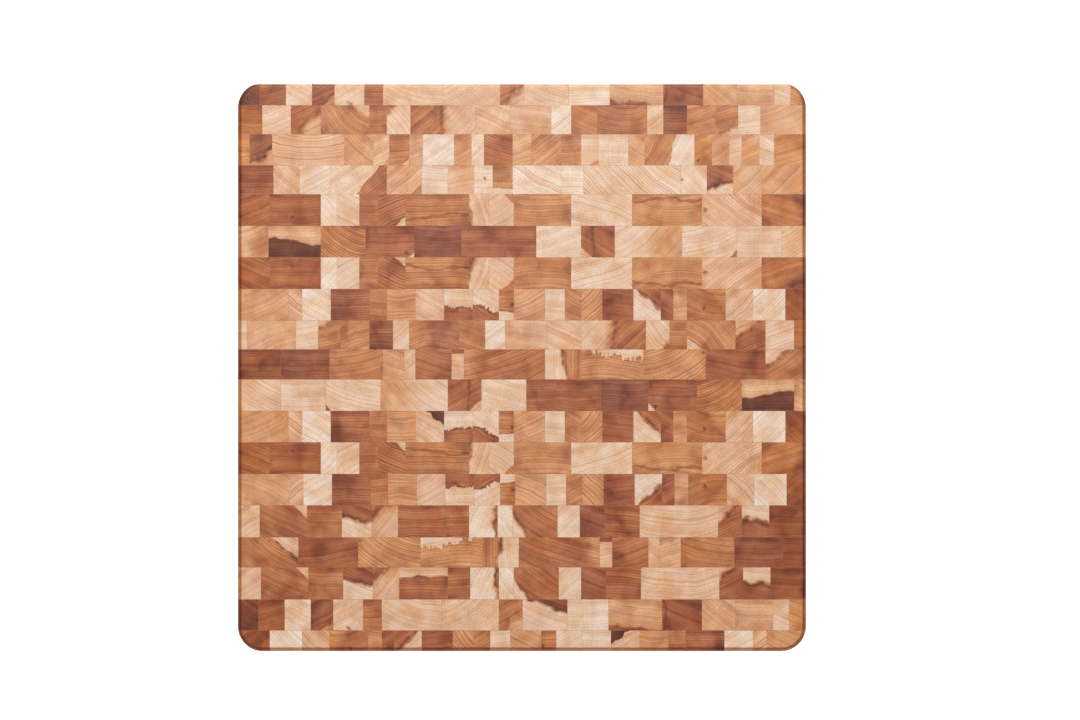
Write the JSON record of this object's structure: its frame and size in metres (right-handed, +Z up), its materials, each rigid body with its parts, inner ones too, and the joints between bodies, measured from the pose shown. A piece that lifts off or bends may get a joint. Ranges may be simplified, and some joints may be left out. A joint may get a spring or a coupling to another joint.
{
  "type": "cutting board",
  "caption": "Thick square end-grain hardwood cutting board of small random-width blocks glued in rows, with rounded corners and edges.",
  "frame": {"origin": "middle of the underside, on the surface that the board lies on", "axes": "+Z up out of the work face, +X to the right along the rows of blocks, +Y to the back across the rows"},
  "size_m": [0.457, 0.457, 0.076],
  "materials": {
    "hardwood": "sanded end grain, oiled to a soft satin, cream sapwood to red-brown heartwood",
    "glue_line": "cured amber-brown wood glue, flush with the wood"
  },
  "bodies": {
    "root": {"strip_01": "hardwood", "strip_02": "hardwood", "strip_03": "hardwood", "strip_04": "hardwood", "strip_05": "hardwood", "strip_06": "hardwood", "strip_07": "hardwood", "strip_08": "hardwood", "strip_09": "hardwood", "strip_10": "hardwood", "strip_11": "hardwood", "strip_12": "hardwood", "strip_13": "hardwood", "strip_14": "hardwood", "strip_15": "hardwood", "strip_16": "hardwood", "strip_17": "hardwood", "strip_18": "hardwood", "strip_19": "hardwood", "strip_glue": "glue_line", "block_glue": "glue_line"}
  },
  "joints": []
}
